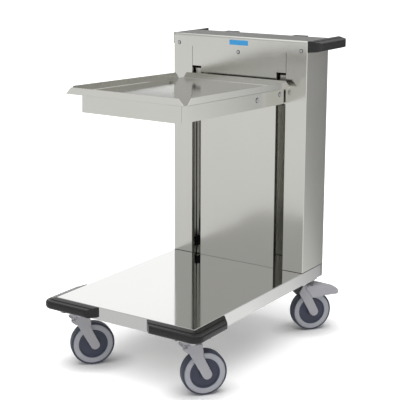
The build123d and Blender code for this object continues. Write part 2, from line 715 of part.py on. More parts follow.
PLATE_HALF = 42.5
PLATE_THICK = 4
HEAD_HEIGHT = 6
NUT_HEIGHT = 6.5
CUP_RADIUS = 27
CUP_HEIGHT = 6
RACE_TOP = CASTOR_HEIGHT - PLATE_THICK - CUP_HEIGHT - END_GAP
RACE_RADIUS = 25
PIN_RADIUS = 6
PIN_HEAD_RADIUS = 10
PIN_HEAD_LOW = CROWN_FOOT + 1
PIN_HEAD_TOP = PIN_HEAD_LOW + 5.7
WHEEL_GAP = 2
LEG_THICK = 8
LEG_IN = WHEEL_WIDTH / 2 + WHEEL_GAP
LEG_OUT = LEG_IN + LEG_THICK
LEG_END = (TRAIL + 4, WHEEL_RADIUS - 0.5)
LEG_END_RADIUS = 13
LEG_TANGENT = (11.5, 6.1)
CROWN_RIGHT = 31
EAR_TOP_LINE = [(-8, -23), (-14, -21), (-25, -12), (-25, -6), (-14, -8), (-11, 0)]
FORK_BOUND = 90
PEDAL_PIVOT = (21, FORK_TOP - 10)
PEDAL_PIN_RADIUS = 3
CAP_SEAM = [(4, FORK_TOP), (-8, FORK_TOP - 23)]
CORE_LEFT = -15
CORE_RIGHT = 8
CORE_HALF = 14


def castor_plate(pivot_x, pivot_y):
    """The fixed top plate with its four bolts, nuts and the kingpin."""
    foot = CASTOR_HEIGHT - PLATE_THICK
    plate = block(-PLATE_HALF, PLATE_HALF, -PLATE_HALF + 1, PLATE_HALF - 1, foot, CASTOR_HEIGHT)
    plate = fillet(plate.edges().filter_by(Axis.Z), 8)
    plate += rod((0, 0, foot - CUP_HEIGHT), (0, 0, 1), CUP_RADIUS, CUP_HEIGHT)
    plate += rod((0, 0, PIN_HEAD_TOP), (0, 0, 1), PIN_RADIUS, foot - PIN_HEAD_TOP)
    plate += rod((0, 0, PIN_HEAD_LOW), (0, 0, 1), PIN_HEAD_RADIUS, PIN_HEAD_TOP - PIN_HEAD_LOW)
    nut_foot = CASTOR_HEIGHT + CHANNEL_SHEET
    for x, y in bolt_places(0, 0):
        head = rod((x, y, foot - HEAD_HEIGHT), (0, 0, 1), BOLT_RADIUS + 3, HEAD_HEIGHT)
        head = fillet(head.edges().group_by(Axis.Z)[0], 2)
        plate += head
        plate += rod((x, y, CASTOR_HEIGHT), (0, 0, 1), BOLT_RADIUS, CHANNEL_SHEET + NUT_HEIGHT + 2)
        nut = RegularPolygon(BOLT_RADIUS + 3.2, 6)
        plate += Pos(x, y, nut_foot) * extrude(nut, NUT_HEIGHT)
    return Pos(pivot_x, pivot_y, 0) * plate


def side_prism(face, low, high):
    """Extrude an outline drawn in (trail, height) across the castor from one offset to another."""
    return Pos(0, low, 0) * extrude(Plane.XZ * face, -(high - low))


def crown_core():
    """The middle of a braked crown, which holds the kingpin and carries the cap."""
    return block(CORE_LEFT, CORE_RIGHT, -CORE_HALF, CORE_HALF, CROWN_FOOT, FORK_TOP)


def castor_fork(braked):
    """The swivelling fork: crown, two slanting legs, race ring and kingpin bore."""
    right = (LEG_END[0] + LEG_TANGENT[0], LEG_END[1] + LEG_TANGENT[1])
    left = (LEG_END[0] - LEG_TANGENT[0], LEG_END[1] - LEG_TANGENT[1])
    low_point = (LEG_END[0] + LEG_TANGENT[1], LEG_END[1] - LEG_TANGENT[0])
    if braked:
        head = CAP_SEAM[::-1]
    else:
        head = raised(EAR_TOP_LINE, 0, FORK_TOP)
    waist = [(CROWN_RIGHT - 3, FORK_TOP), (CROWN_RIGHT, FORK_TOP - 21), (CROWN_RIGHT - 1.5, FORK_TOP - 31)]
    edge = Polyline(left, *head, *waist, right)
    end = ThreePointArc(right, low_point, left)
    fork = side_prism(make_face([edge, end]), -LEG_OUT, LEG_OUT)
    rims = [
        e for e in fork.edges() if abs(abs(e.center().Y) - LEG_OUT) < 0.01 and e.center().Z < FORK_TOP - 1
    ]
    fork = fillet(rims, 1.2)
    fork -= block(-FORK_BOUND, FORK_BOUND, -LEG_IN, LEG_IN, 0, CROWN_FOOT)
    if braked:
        fork += crown_core()
    else:
        fork -= block(-FORK_BOUND, CORE_LEFT, -LEG_IN, LEG_IN, CROWN_FOOT, FORK_TOP)
    fork += rod((0, 0, FORK_TOP), (0, 0, 1), RACE_RADIUS, RACE_TOP - FORK_TOP)
    fork -= rod((0, 0, CROWN_FOOT), (0, 0, 1), PIN_RADIUS + RUN_FIT, RACE_TOP - CROWN_FOOT)
    fork -= rod((0, 0, CROWN_FOOT), (0, 0, 1), PIN_HEAD_RADIUS + 1, PIN_HEAD_TOP + END_GAP - CROWN_FOOT)
    fork -= rod((TRAIL, -AXLE_END, WHEEL_RADIUS), (0, 1, 0), AXLE_RADIUS, 2 * AXLE_END)
    if braked:
        pin_length = 2 * (LEG_OUT + PEDAL_CHEEK + SLIDE_GAP)
        pin_start = (PEDAL_PIVOT[0], -pin_length / 2, PEDAL_PIVOT[1])
        pin = rod(pin_start, (0, 1, 0), PEDAL_PIN_RADIUS, pin_length)
        fork += pin - block(-FORK_BOUND, FORK_BOUND, -LEG_OUT, LEG_OUT, 0, CASTOR_HEIGHT)
    return fork


AXLE_RADIUS = 4
SLEEVE_RADIUS = 6
AXLE_END = 23
HUB_HALF = LEG_IN - END_GAP
HUB_RADIUS = 14
DISC_HALF = 13
RING_RADIUS = WHEEL_RADIUS - 5.5
DISC_RADIUS = RING_RADIUS - 15
RING_HALF = 15


def castor_axle():
    """The axle bolt with its sleeve, held in the two fork legs."""
    axle = rod((TRAIL, -AXLE_END, WHEEL_RADIUS), (0, 1, 0), AXLE_RADIUS, 2 * AXLE_END)
    return axle + rod((TRAIL, -LEG_IN, WHEEL_RADIUS), (0, 1, 0), SLEEVE_RADIUS, 2 * LEG_IN)


def wheel_turned(points):
    """A solid turned about the axle from (radius, offset) points."""
    ring = revolve(Plane.XY * make_face(Polyline(*points, close=True)), Axis.Y)
    return Pos(TRAIL, 0, WHEEL_RADIUS) * ring


def wheel_core():
    """The hub disc with its boss and bearing bore."""
    bore = SLEEVE_RADIUS + RUN_FIT
    groove = 2
    half = [
        (bore, HUB_HALF), (HUB_RADIUS, HUB_HALF), (HUB_RADIUS + 2, DISC_HALF),
        (DISC_RADIUS - 5, DISC_HALF), (DISC_RADIUS - 4, DISC_HALF + groove),
        (DISC_RADIUS, DISC_HALF + groove),
    ]
    return wheel_turned(half + [(r, -y) for r, y in half[::-1]])


def wheel_ring():
    """The light ring between the hub disc and the tyre."""
    half = [
        (DISC_RADIUS, RING_HALF), (RING_RADIUS - 2, RING_HALF + 0.6), (RING_RADIUS, RING_HALF - 0.6),
    ]
    return wheel_turned(half + [(r, -y) for r, y in half[::-1]])


def wheel_tyre():
    """The tyre with rounded shoulders."""
    half_width = WHEEL_WIDTH / 2
    shoulder = 3.5
    flat = half_width - 6
    top = WHEEL_RADIUS
    edge = [
        Line((RING_RADIUS, -half_width + 1.6), (RING_RADIUS + 0.6, -half_width)),
        Line((RING_RADIUS + 0.6, -half_width), (top - shoulder, -half_width)),
        ThreePointArc(
            (top - shoulder, -half_width), (top - 0.9, -half_width + 2.6), (top, -flat)
        ),
        Line((top, -flat), (top, flat)),
        ThreePointArc((top, flat), (top - 0.9, half_width - 2.6), (top - shoulder, half_width)),
        Line((top - shoulder, half_width), (RING_RADIUS + 0.6, half_width)),
        Line((RING_RADIUS + 0.6, half_width), (RING_RADIUS, half_width - 1.6)),
        Line((RING_RADIUS, half_width - 1.6), (RING_RADIUS, -half_width + 1.6)),
    ]
    return Pos(TRAIL, 0, WHEEL_RADIUS) * revolve(make_face(edge), Axis.Y)


PEDAL_CHEEK = 2.7
PEDAL_TIP = 129.5
PEDAL_TOP_LINE = [
    (32.5, -6), (38, -2.5), (45, -1.5), (79, -9), (112, -18), (125, -24.5), (PEDAL_TIP, -33),
]
PEDAL_LOW_LINE = [(127, -37.5), (118, -38.5), (78, -36.5), (50, -38.5), (32.5, -39.5)]
PEDAL_PLAN = [(60, 29), (124, 15)]
EAR_LINE = [(-7, -3), (-7, 4), (-2, 7.5), (9, 8), (15, 7), (15, -29), (10.5, -27), (1, -9)]


def raised(line, start, height):
    """Move (along, up) points to a start and a height."""
    return [(start + t, height + z) for t, z in line]


def pedal_plan(inset):
    """The plan outline of the pedal, drawn in by a wall thickness."""
    root = LEG_OUT + SLIDE_GAP + PEDAL_CHEEK - inset
    (t0, _), (t1, n1) = PEDAL_PLAN
    tip = PEDAL_TIP - inset
    n1 -= inset
    return make_face([
        Polyline((0, root), (t0, root), (t1 - inset, n1)),
        ThreePointArc((t1 - inset, n1), (tip, 0), (t1 - inset, -n1)),
        Polyline((t1 - inset, -n1), (t0, -root), (0, -root)),
        Line((0, -root), (0, root)),
    ])


PEDAL_CUT = 60
PEDAL_MOUTH = 37


def brake_pedal():
    """The foot lever over the wheel: a shell with two cheeks on the fork's pins."""
    top_line = raised(PEDAL_TOP_LINE, 0, FORK_TOP)
    body = make_face(Polyline(*top_line, *raised(PEDAL_LOW_LINE, 0, FORK_TOP), close=True))
    ear = make_face(Polyline(*raised(EAR_LINE, *PEDAL_PIVOT), close=True))
    reach = LEG_OUT + 15
    low = FORK_TOP - PEDAL_CUT
    tall = 2 * PEDAL_CUT
    outer = side_prism(body + ear, -reach, reach) & Pos(0, 0, low) * extrude(pedal_plan(0), tall)
    lowered = [(top_line[0][0] - 30, top_line[2][1] - 4)] + [
        (t, z - PEDAL_CHEEK - 0.4) for t, z in top_line[2:-1]
    ]
    mouth = PEDAL_TIP - PEDAL_CHEEK - 0.3
    hollow = [*lowered, (mouth, FORK_TOP - PEDAL_MOUTH), (mouth, low), (0, low)]
    hollow_side = make_face(Polyline(*hollow, close=True))
    inner_plan = Pos(0, 0, low - 10) * extrude(pedal_plan(PEDAL_CHEEK), tall + 20)
    inner = side_prism(hollow_side, -reach, reach) & inner_plan
    pedal = outer - inner
    crown_gap = 1.2
    slack = LEG_OUT + SLIDE_GAP
    pedal -= block(0, CROWN_RIGHT + crown_gap, -slack, slack, low, CASTOR_HEIGHT)
    bore_start = (PEDAL_PIVOT[0], -reach, PEDAL_PIVOT[1])
    pedal -= rod(bore_start, (0, 1, 0), PEDAL_PIN_RADIUS + RUN_FIT, 2 * reach)
    return pedal


CAP_HALF = 20
CAP_LINE = [(-12, -29), (-16, -27.5), (-24, -14), (-24, -10), (-14, -3), (-4, 0)]


def brake_cap():
    """The black cap on the front of a braked fork."""
    outline = Polyline(*CAP_SEAM, *raised(CAP_LINE, 0, FORK_TOP), close=True)
    cap = side_prism(make_face(outline), -CAP_HALF, CAP_HALF)
    return cap - crown_core()


def placed(shape, pivot_x, pivot_y):
    """Turn a castor part to the castor's heading and move it to its pivot."""
    return Pos(pivot_x, pivot_y, 0) * Rot(0, 0, CASTOR_YAW + 90) * shape


def add_castor(name, pivot_x, pivot_y, braked):
    """Add every node of one castor."""
    nodes[name + "_castor_plate"] = castor_plate(pivot_x, pivot_y)
    parts = {
        "fork": castor_fork(braked),
        "axle": castor_axle(),
        "wheel_core": wheel_core(),
        "wheel_ring": wheel_ring(),
        "tyre": wheel_tyre(),
    }
    if braked:
        parts["brake_pedal"] = brake_pedal()
        parts["brake_cap"] = brake_cap()
    for part_name, shape in parts.items():
        nodes[name + "_castor_" + part_name] = placed(shape, pivot_x, pivot_y)


def build():
    """Make every node about the middle of the deck's front edge."""
    front_span, back_span = channel_spans()
    nodes["base_deck"] = base_deck()
    nodes["front_castor_channel"] = castor_channel(*front_span, CASTOR_FRONT_Y)
    nodes["rear_castor_channel"] = castor_channel(*back_span, CASTOR_BACK_Y)
    nodes["column_housing"] = column_housing()
    nodes["column_rear_cover"] = column_rear_cover()
    nodes["column_face_screws"] = Compound(column_face_screws())
    nodes["rear_cover_screws"] = Compound(rear_cover_screws())
    nodes["blank_label_plate"] = blank_label_plate()
    nodes["spring_hanger_bar"] = spring_hanger_bar()
    nodes["travel_stop_pads"] = Compound(travel_stop_pads())
    nodes["rear_buffer_pads"] = Compound(rear_buffer_pads())
    nodes["carriage_plate"] = carriage_plate()
    nodes["spring_lower_bar"] = spring_lower_bar()
    nodes["tray_support_frame"] = tray_support_frame()
    nodes["tray_pan"] = tray_pan()
    nodes["tray_frame_screws"] = Compound(tray_frame_screws())
    for name, side in (("left", -1), ("right", 1)):
        nodes[name + "_guide_rail"] = guide_rail(side)
        nodes[name + "_tension_springs"] = Compound([tension_spring(side * x) for x in SPRING_X])
        nodes[name + "_platform_arm"] = platform_arm(side)
        nodes[name + "_corner_bumper"] = corner_bumper(side)
        nodes[name + "_push_handle"] = push_handle(side)
        for level, z in zip(("lower", "upper"), ROLLER_Z):
            nodes[name + "_" + level + "_guide_roller"] = guide_roller(side, z)
        add_castor("front_" + name, side * CASTOR_X, CASTOR_FRONT_Y, False)
        add_castor("rear_" + name, side * CASTOR_X, CASTOR_BACK_Y, True)


def save():
    """Move the origin to the middle of the bounding box on the floor and write one file for each node."""
    os.makedirs("parts", exist_ok=True)
    boxes = [shape.bounding_box() for shape in nodes.values()]
    middle_x = round((min(b.min.X for b in boxes) + max(b.max.X for b in boxes)) / 2, 1)
    middle_y = round((min(b.min.Y for b in boxes) + max(b.max.Y for b in boxes)) / 2, 1)
    print("origin in deck coordinates:", middle_x, middle_y)
    print("lowest and highest:", min(b.min.Z for b in boxes), max(b.max.Z for b in boxes))
    for name, shape in nodes.items():
        export_step(Pos(-middle_x, -middle_y, 0) * shape, "parts/" + name + ".step")


build()
save()
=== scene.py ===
import json
import math

import bpy
import numpy as np
from mathutils import Euler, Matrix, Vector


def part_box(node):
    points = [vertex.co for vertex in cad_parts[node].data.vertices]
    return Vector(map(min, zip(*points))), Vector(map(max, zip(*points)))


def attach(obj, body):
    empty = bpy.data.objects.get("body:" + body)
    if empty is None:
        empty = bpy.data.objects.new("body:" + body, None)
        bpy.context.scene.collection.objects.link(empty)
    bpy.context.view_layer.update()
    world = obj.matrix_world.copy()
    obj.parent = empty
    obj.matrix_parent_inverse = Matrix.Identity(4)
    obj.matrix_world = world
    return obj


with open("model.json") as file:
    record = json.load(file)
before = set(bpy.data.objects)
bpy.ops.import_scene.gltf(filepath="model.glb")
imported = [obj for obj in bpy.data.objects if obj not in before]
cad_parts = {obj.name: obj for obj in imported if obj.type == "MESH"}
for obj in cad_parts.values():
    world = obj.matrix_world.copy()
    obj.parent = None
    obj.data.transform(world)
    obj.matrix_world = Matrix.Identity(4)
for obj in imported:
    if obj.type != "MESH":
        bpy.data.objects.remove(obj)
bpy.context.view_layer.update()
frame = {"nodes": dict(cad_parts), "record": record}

# Lengths are metres and angles are degrees.

# The camera, solved from the photo's straight edges, with its focal length in pixels of the photo's frame
CAMERA_PLACE = (1.7586, -2.6488, 1.2321)
CAMERA_AZIMUTH = 33.771
CAMERA_ELEVATION = 11.877
CAMERA_ROLL = -0.188
FOCAL_PIXELS = 1116.4
FRAME_PIXELS = 400
SENSOR = 36
SHIFT_Y = -0.10


def add_camera():
    """Stand the camera where the photo was taken."""
    data = bpy.data.cameras.new("studio_camera")
    data.sensor_width = SENSOR
    data.lens = FOCAL_PIXELS * SENSOR / FRAME_PIXELS
    data.shift_y = SHIFT_Y
    camera = bpy.data.objects.new("studio_camera", data)
    bpy.context.scene.collection.objects.link(camera)
    camera.location = CAMERA_PLACE
    camera.rotation_euler = Euler((
        math.radians(90 - CAMERA_ELEVATION), math.radians(CAMERA_ROLL), math.radians(CAMERA_AZIMUTH)
    ))
    bpy.context.scene.camera = camera


# Node helpers


def new_material(name):
    """An empty node material with its output."""
    material = bpy.data.materials.new(name)
    material.use_nodes = True
    tree = material.node_tree
    tree.nodes.clear()
    output = tree.nodes.new("ShaderNodeOutputMaterial")
    return material, tree, output


def object_coordinates(tree, scale=(1, 1, 1)):
    """Object coordinates stretched by a scale for each axis."""
    source = tree.nodes.new("ShaderNodeTexCoord")
    mapping = tree.nodes.new("ShaderNodeMapping")
    mapping.inputs["Scale"].default_value = scale
    tree.links.new(source.outputs["Object"], mapping.inputs["Vector"])
    return mapping.outputs["Vector"]


def noise(tree, vector, scale=1, detail=2):
    """The factor of a noise texture."""
    node = tree.nodes.new("ShaderNodeTexNoise")
    node.inputs["Scale"].default_value = scale
    node.inputs["Detail"].default_value = detail
    tree.links.new(vector, node.inputs["Vector"])
    return node.outputs["Fac"]


def spread(tree, value, low, high, from_low=0.3, from_high=0.7):
    """Map a value from one range to another and hold it at the ends. The usual range is that of a noise."""
    node = tree.nodes.new("ShaderNodeMapRange")
    node.inputs["From Min"].default_value = from_low
    node.inputs["From Max"].default_value = from_high
    node.inputs["To Min"].default_value = low
    node.inputs["To Max"].default_value = high
    tree.links.new(value, node.inputs["Value"])
    return node.outputs["Result"]


def stepped(tree, value, stops):
    """A value that follows straight lines between (place, height) stops."""
    last = stops[-1][0]
    ramp = tree.nodes.new("ShaderNodeValToRGB")
    elements = ramp.color_ramp.elements
    while len(elements) < len(stops):
        elements.new(0.5)
    for element, (place, height) in zip(elements, stops):
        element.position = place / last
        element.color = (height, height, height, 1)
    tree.links.new(combine(tree, "DIVIDE", value, last), ramp.inputs["Fac"])
    return ramp.outputs["Color"]


def combine(tree, operation, first, second):
    """Arithmetic on two values, each a socket or a number."""
    node = tree.nodes.new("ShaderNodeMath")
    node.operation = operation
    for place, value in enumerate((first, second)):
        if isinstance(value, (int, float)):
            node.inputs[place].default_value = value
        else:
            tree.links.new(value, node.inputs[place])
    return node.outputs[0]


def two_tone(tree, value, dark, light):
    """A colour between two tones."""
    node = tree.nodes.new("ShaderNodeMix")
    node.data_type = "RGBA"
    node.inputs[6].default_value = (*dark, 1)
    node.inputs[7].default_value = (*light, 1)
    tree.links.new(value, node.inputs[0])
    return node.outputs[2]


def bump(tree, height, strength, distance):
    """A bump from a height."""
    node = tree.nodes.new("ShaderNodeBump")
    node.inputs["Strength"].default_value = strength
    node.inputs["Distance"].default_value = distance
    tree.links.new(height, node.inputs["Height"])
    return node.outputs["Normal"]


def axis_parts(tree, vector):
    """The X, Y and Z parts of a vector."""
    parts = tree.nodes.new("ShaderNodeSeparateXYZ")
    tree.links.new(vector, parts.inputs["Vector"])
    return parts.outputs["X"], parts.outputs["Y"], parts.outputs["Z"]


def glow(tree, strength):
    """A white glow whose strength is a socket or a number."""
    node = tree.nodes.new("ShaderNodeEmission")
    if isinstance(strength, (int, float)):
        node.inputs["Strength"].default_value = strength
    else:
        tree.links.new(strength, node.inputs["Strength"])
    return node.outputs["Emission"]


def ray_kind(tree, *kinds):
    """One for the given kinds of ray, otherwise zero."""
    path = tree.nodes.new("ShaderNodeLightPath")
    result = path.outputs[kinds[0]]
    for kind in kinds[1:]:
        result = combine(tree, "MAXIMUM", result, path.outputs[kind])
    return result


def seen_ray(tree):
    """One where the camera looks, straight or through glass."""
    return ray_kind(tree, "Is Camera Ray", "Is Transmission Ray")


def glossy_ray(tree):
    """One where a reflection looks."""
    return ray_kind(tree, "Is Glossy Ray")


# Brushed steel: a grain that darkens, grooves that catch light, and clouds in the gloss
STREAK_DETAIL = 3
STREAK_SHADE = 0.965
GROOVE_STRENGTH = 0.35
GROOVE_DEPTH = 0.00002
STEEL_CLOUDS = 6
STEEL_GLOSS_CHANGE = 0.15

# Moulded plastic: a fine skin, and clouds in the tone and the gloss
SKIN_STRENGTH = 0.3
PLASTIC_CLOUDS = 14
PLASTIC_GLOSS_CHANGE = 0.1


def cloudy_gloss(tree, clouds, roughness, change):
    """A roughness that changes by a share up and down with the clouds."""
    return spread(tree, clouds, (1 - change) * roughness, (1 + change) * roughness)


def brushed_steel(name, tone, roughness, grain):
    """Stainless steel: a fine grain drawn out along one axis, and faint clouds in its gloss."""
    material, tree, output = new_material(name)
    shader = tree.nodes.new("ShaderNodeBsdfPrincipled")
    shader.inputs["Metallic"].default_value = 1
    streaks = noise(tree, object_coordinates(tree, grain), detail=STREAK_DETAIL)
    clouds = noise(tree, object_coordinates(tree), STEEL_CLOUDS)
    dark = tuple(STREAK_SHADE * c for c in tone)
    colour = two_tone(tree, spread(tree, streaks, 0, 1), dark, tone)
    tree.links.new(colour, shader.inputs["Base Color"])
    tree.links.new(cloudy_gloss(tree, clouds, roughness, STEEL_GLOSS_CHANGE), shader.inputs["Roughness"])
    tree.links.new(bump(tree, streaks, GROOVE_STRENGTH, GROOVE_DEPTH), shader.inputs["Normal"])
    tree.links.new(shader.outputs["BSDF"], output.inputs["Surface"])
    return material


def moulded_plastic(name, tone, roughness, grain, depth, light=1.25, shine=0.5):
    """Moulded plastic or rubber: an even colour with a fine skin and a soft change in gloss."""
    material, tree, output = new_material(name)
    shader = tree.nodes.new("ShaderNodeBsdfPrincipled")
    shader.inputs["Specular IOR Level"].default_value = shine
    place = object_coordinates(tree)
    skin = noise(tree, place, 1 / grain)
    clouds = noise(tree, place, PLASTIC_CLOUDS)
    pale = tuple(light * c for c in tone)
    colour = two_tone(tree, spread(tree, clouds, 0, 1), tone, pale)
    tree.links.new(colour, shader.inputs["Base Color"])
    tree.links.new(cloudy_gloss(tree, clouds, roughness, PLASTIC_GLOSS_CHANGE), shader.inputs["Roughness"])
    tree.links.new(bump(tree, skin, SKIN_STRENGTH, depth), shader.inputs["Normal"])
    tree.links.new(shader.outputs["BSDF"], output.inputs["Surface"])
    return material


# Tones
STEEL = (0.725, 0.72, 0.68)
DECK_STEEL = (0.70, 0.70, 0.69)
INNER_STEEL = (0.76, 0.755, 0.71)
ZINC = (0.66, 0.67, 0.68)
SPRING_STEEL = (0.30, 0.30, 0.31)
GUARD_BLACK = (0.006, 0.006, 0.0063)
STOP_BLACK = (0.012, 0.012, 0.012)
FORK_GREY = (0.40, 0.40, 0.425)
HUB_SLATE = (0.042, 0.047, 0.078)
RING_GREY = (0.40, 0.41, 0.45)
TREAD_SLATE = (0.040, 0.045, 0.07)
ROLLER_WHITE = (0.7, 0.7, 0.66)
LABEL_BLUE = (0.045, 0.31, 0.64)

# Grain cells per metre: across the brushing, along it, and on steel that isn't brushed
FINE = 2600
LONG = 12
DULL = 400
EVEN = 900
LEVEL_GRAIN = (FINE, LONG, LONG)

finishes = {
    "deck": brushed_steel("polished_deck_steel", DECK_STEEL, 0.07, LEVEL_GRAIN),
    "upright": brushed_steel("brushed_column_steel", STEEL, 0.17, (FINE, FINE, LONG)),
    "level": brushed_steel("brushed_skirt_steel", STEEL, 0.16, (LONG, LONG, FINE)),
    "pan": brushed_steel("polished_pan_steel", STEEL, 0.13, LEVEL_GRAIN),
    "inner": brushed_steel("plain_inner_steel", INNER_STEEL, 0.3, (DULL, DULL, LONG)),
    "zinc": brushed_steel("bright_zinc_steel", ZINC, 0.25, (EVEN, EVEN, EVEN)),
    "spring": brushed_steel("dark_spring_steel", SPRING_STEEL, 0.3, (EVEN, EVEN, EVEN)),
    "guard": moulded_plastic("black_guard_plastic", GUARD_BLACK, 0.26, grain=0.0012, depth=0.00005),
    "stop": moulded_plastic("black_stop_rubber", STOP_BLACK, 0.7, grain=0.001, depth=0.00006, shine=0.2),
    "fork": moulded_plastic("grey_fork_plastic", FORK_GREY, 0.45, grain=0.0016, depth=0.00006, light=1.06),
    "hub": moulded_plastic("slate_hub_plastic", HUB_SLATE, 0.5, grain=0.0016, depth=0.00005),
    "ring": moulded_plastic("pale_ring_plastic", RING_GREY, 0.5, grain=0.0016, depth=0.00004, light=1.06),
    "tread": moulded_plastic("slate_tread_rubber", TREAD_SLATE, 0.55, grain=0.0012, depth=0.00006),
    "roller": moulded_plastic(
        "pale_roller_plastic", ROLLER_WHITE, 0.4, grain=0.002, depth=0.00003, light=1.05
    ),
    "label": moulded_plastic("blue_label_plastic", LABEL_BLUE, 0.4, grain=0.003, depth=0.00001, light=1.05),
}

NODE_FINISH = {
    "base_deck": "deck",
    "column_housing": "upright",
    "column_rear_cover": "upright",
    "tray_support_frame": "level",
    "tray_pan": "pan",
    "blank_label_plate": "label",
    "travel_stop_pads": "stop",
}
SLOT_FINISH = {
    "polished_sheet": "upright",
    "inner_steel": "inner",
    "zinc_steel": "zinc",
    "spring_steel": "spring",
    "black_plastic": "guard",
    "grey_plastic": "fork",
    "hub_plastic": "hub",
    "ring_plastic": "ring",
    "tread": "tread",
    "stop_rubber": "stop",
    "roller_plastic": "roller",
    "label_plate": "label",
}


def finish_cad_nodes():
    """Give every CAD node its finish, by name or by the record's material slot."""
    slots = {part["node"]: part["material_slot"] for part in frame["record"]["subparts"]}
    for name, node in frame["nodes"].items():
        finish = NODE_FINISH.get(name, SLOT_FINISH[slots[name]])
        node.data.materials.clear()
        node.data.materials.append(finishes[finish])


# The world is white where it is seen. Plain surfaces get an even light from it. Reflections see a studio that
# dims from front to back over the turn, and brightens high up behind, between two heights of the direction.
WORLD_LIGHT = 0.42
FRONT_STUDIO = 0.57
BACK_STUDIO = 0.285
STUDIO_TURN = 0.3
HIGH_STUDIO = 0.85
HIGH_START = 0.36
HIGH_END = 0.55


def add_world():
    """White where it is seen, a plain light, and a studio for reflections."""
    world = bpy.data.worlds.new("white_studio")
    world.use_nodes = True
    bpy.context.scene.world = world
    tree = world.node_tree
    background = tree.nodes["Background"]
    background.inputs["Color"].default_value = (1, 1, 1, 1)
    direction = tree.nodes.new("ShaderNodeTexCoord")
    _, backward, upward = axis_parts(tree, direction.outputs["Generated"])
    level = spread(tree, backward, FRONT_STUDIO, BACK_STUDIO, -STUDIO_TURN, STUDIO_TURN)
    high = spread(tree, upward, 0, HIGH_STUDIO, HIGH_START, HIGH_END)
    behind = spread(tree, backward, 0, 1, 0, STUDIO_TURN)
    studio = combine(tree, "ADD", level, combine(tree, "MULTIPLY", high, behind))
    glossy = glossy_ray(tree)
    plain = spread(tree, seen_ray(tree), WORLD_LIGHT, 1, 0, 1)
    in_plain = combine(tree, "MULTIPLY", plain, combine(tree, "SUBTRACT", 1, glossy))
    in_reflections = combine(tree, "MULTIPLY", studio, glossy)
    tree.links.new(combine(tree, "ADD", in_plain, in_reflections), background.inputs["Strength"])


def plane(name, corners):
    """A flat four-cornered sheet."""
    mesh = bpy.data.meshes.new(name)
    mesh.from_pydata(corners, [], [(0, 1, 2, 3)])
    sheet = bpy.data.objects.new(name, mesh)
    bpy.context.scene.collection.objects.link(sheet)
    return sheet


def level_plane(name, half, y, height):
    """A level square sheet about a point on the Y axis."""
    front = y - half
    back = y + half
    corners = [(-half, front, height), (half, front, height), (half, back, height), (-half, back, height)]
    return plane(name, corners)


# The floor, and its own glow where it is seen, which turns it white away from the trolley's middle.
# The glow dims within a small reach of what stands on the floor, as a painted contact shadow.
FLOOR_HALF = 30
FLOOR_TONE = (0.9, 0.9, 0.9)
GLOW_NEAR = 0.20
GLOW_FAR = 0.95
GLOW_START = 0.12
GLOW_END = 1.3
CONTACT_SHADE_REACH = 0.08
CONTACT_SHADE_DEPTH = 6

# What reflections see of the floor is a painted glow that stands in for the light on it. In front its level
# follows the distance from the trolley's middle.
# Behind it follows the distance aside over the distance behind, as (ratio, level). The two meet in a blend.
FRONT_FLOOR_NEAR = 0.73
FRONT_FLOOR_FAR = 0.81
FRONT_FLOOR_START = 0.8
FRONT_FLOOR_END = 3.0
BACK_FLOOR = (
    (0.0, 0.20), (0.53, 0.215), (0.562, 0.27), (0.575, 0.37),
    (0.597, 0.52), (0.65, 0.62), (0.8, 0.83), (1.5, 1.0),
)
LEAST_BEHIND = 0.05
BLEND_START = -0.15
BLEND_END = 0.1


def floor_in_reflections(tree, reach, place_x, place_y):
    """What reflections see of the floor, as a painted glow: even in front, and behind brighter to the sides.
    """
    front = spread(tree, reach, FRONT_FLOOR_NEAR, FRONT_FLOOR_FAR, FRONT_FLOOR_START, FRONT_FLOOR_END)
    aside = combine(tree, "ABSOLUTE", place_x, 0)
    behind = combine(tree, "MAXIMUM", place_y, LEAST_BEHIND)
    back = stepped(tree, combine(tree, "DIVIDE", aside, behind), BACK_FLOOR)
    share = spread(tree, place_y, 0, 1, BLEND_START, BLEND_END)
    in_back = combine(tree, "MULTIPLY", share, back)
    in_front = combine(tree, "MULTIPLY", combine(tree, "SUBTRACT", 1, share), front)
    return combine(tree, "ADD", in_back, in_front)


def floor_glow(tree, reach):
    """The strength of the floor's glow where it is seen, with a painted contact shadow near what stands on
    the floor.
    """
    # Painted contact shadow: ambient occlusion dims the glow close to the wheels and whatever else stands on
    # the floor.
    contact_occlusion = tree.nodes.new("ShaderNodeAmbientOcclusion")
    contact_occlusion.inputs["Distance"].default_value = CONTACT_SHADE_REACH
    painted_contact_shade = combine(tree, "POWER", contact_occlusion.outputs["AO"], CONTACT_SHADE_DEPTH)
    open_glow = spread(tree, reach, GLOW_NEAR, GLOW_FAR, GLOW_START, GLOW_END)
    return combine(tree, "MULTIPLY", seen_ray(tree), combine(tree, "MULTIPLY", open_glow, painted_contact_shade))


def add_floor():
    """A pale floor that keeps the shadows and shows white away from them."""
    floor = level_plane("studio_floor", FLOOR_HALF, 0, 0)
    material, tree, output = new_material("pale_floor")
    place = object_coordinates(tree)
    place_x, place_y, _ = axis_parts(tree, place)
    length = tree.nodes.new("ShaderNodeVectorMath")
    length.operation = "LENGTH"
    tree.links.new(place, length.inputs[0])
    reach = length.outputs["Value"]
    diffuse = tree.nodes.new("ShaderNodeBsdfDiffuse")
    diffuse.inputs["Color"].default_value = (*FLOOR_TONE, 1)
    seen = tree.nodes.new("ShaderNodeAddShader")
    tree.links.new(diffuse.outputs["BSDF"], seen.inputs[0])
    tree.links.new(glow(tree, floor_glow(tree, reach)), seen.inputs[1])
    mirrored = glow(tree, floor_in_reflections(tree, reach, place_x, place_y))
    both = tree.nodes.new("ShaderNodeMixShader")
    tree.links.new(glossy_ray(tree), both.inputs[0])
    tree.links.new(seen.outputs["Shader"], both.inputs[1])
    tree.links.new(mirrored, both.inputs[2])
    tree.links.new(both.outputs["Shader"], output.inputs["Surface"])
    floor.data.materials.append(material)


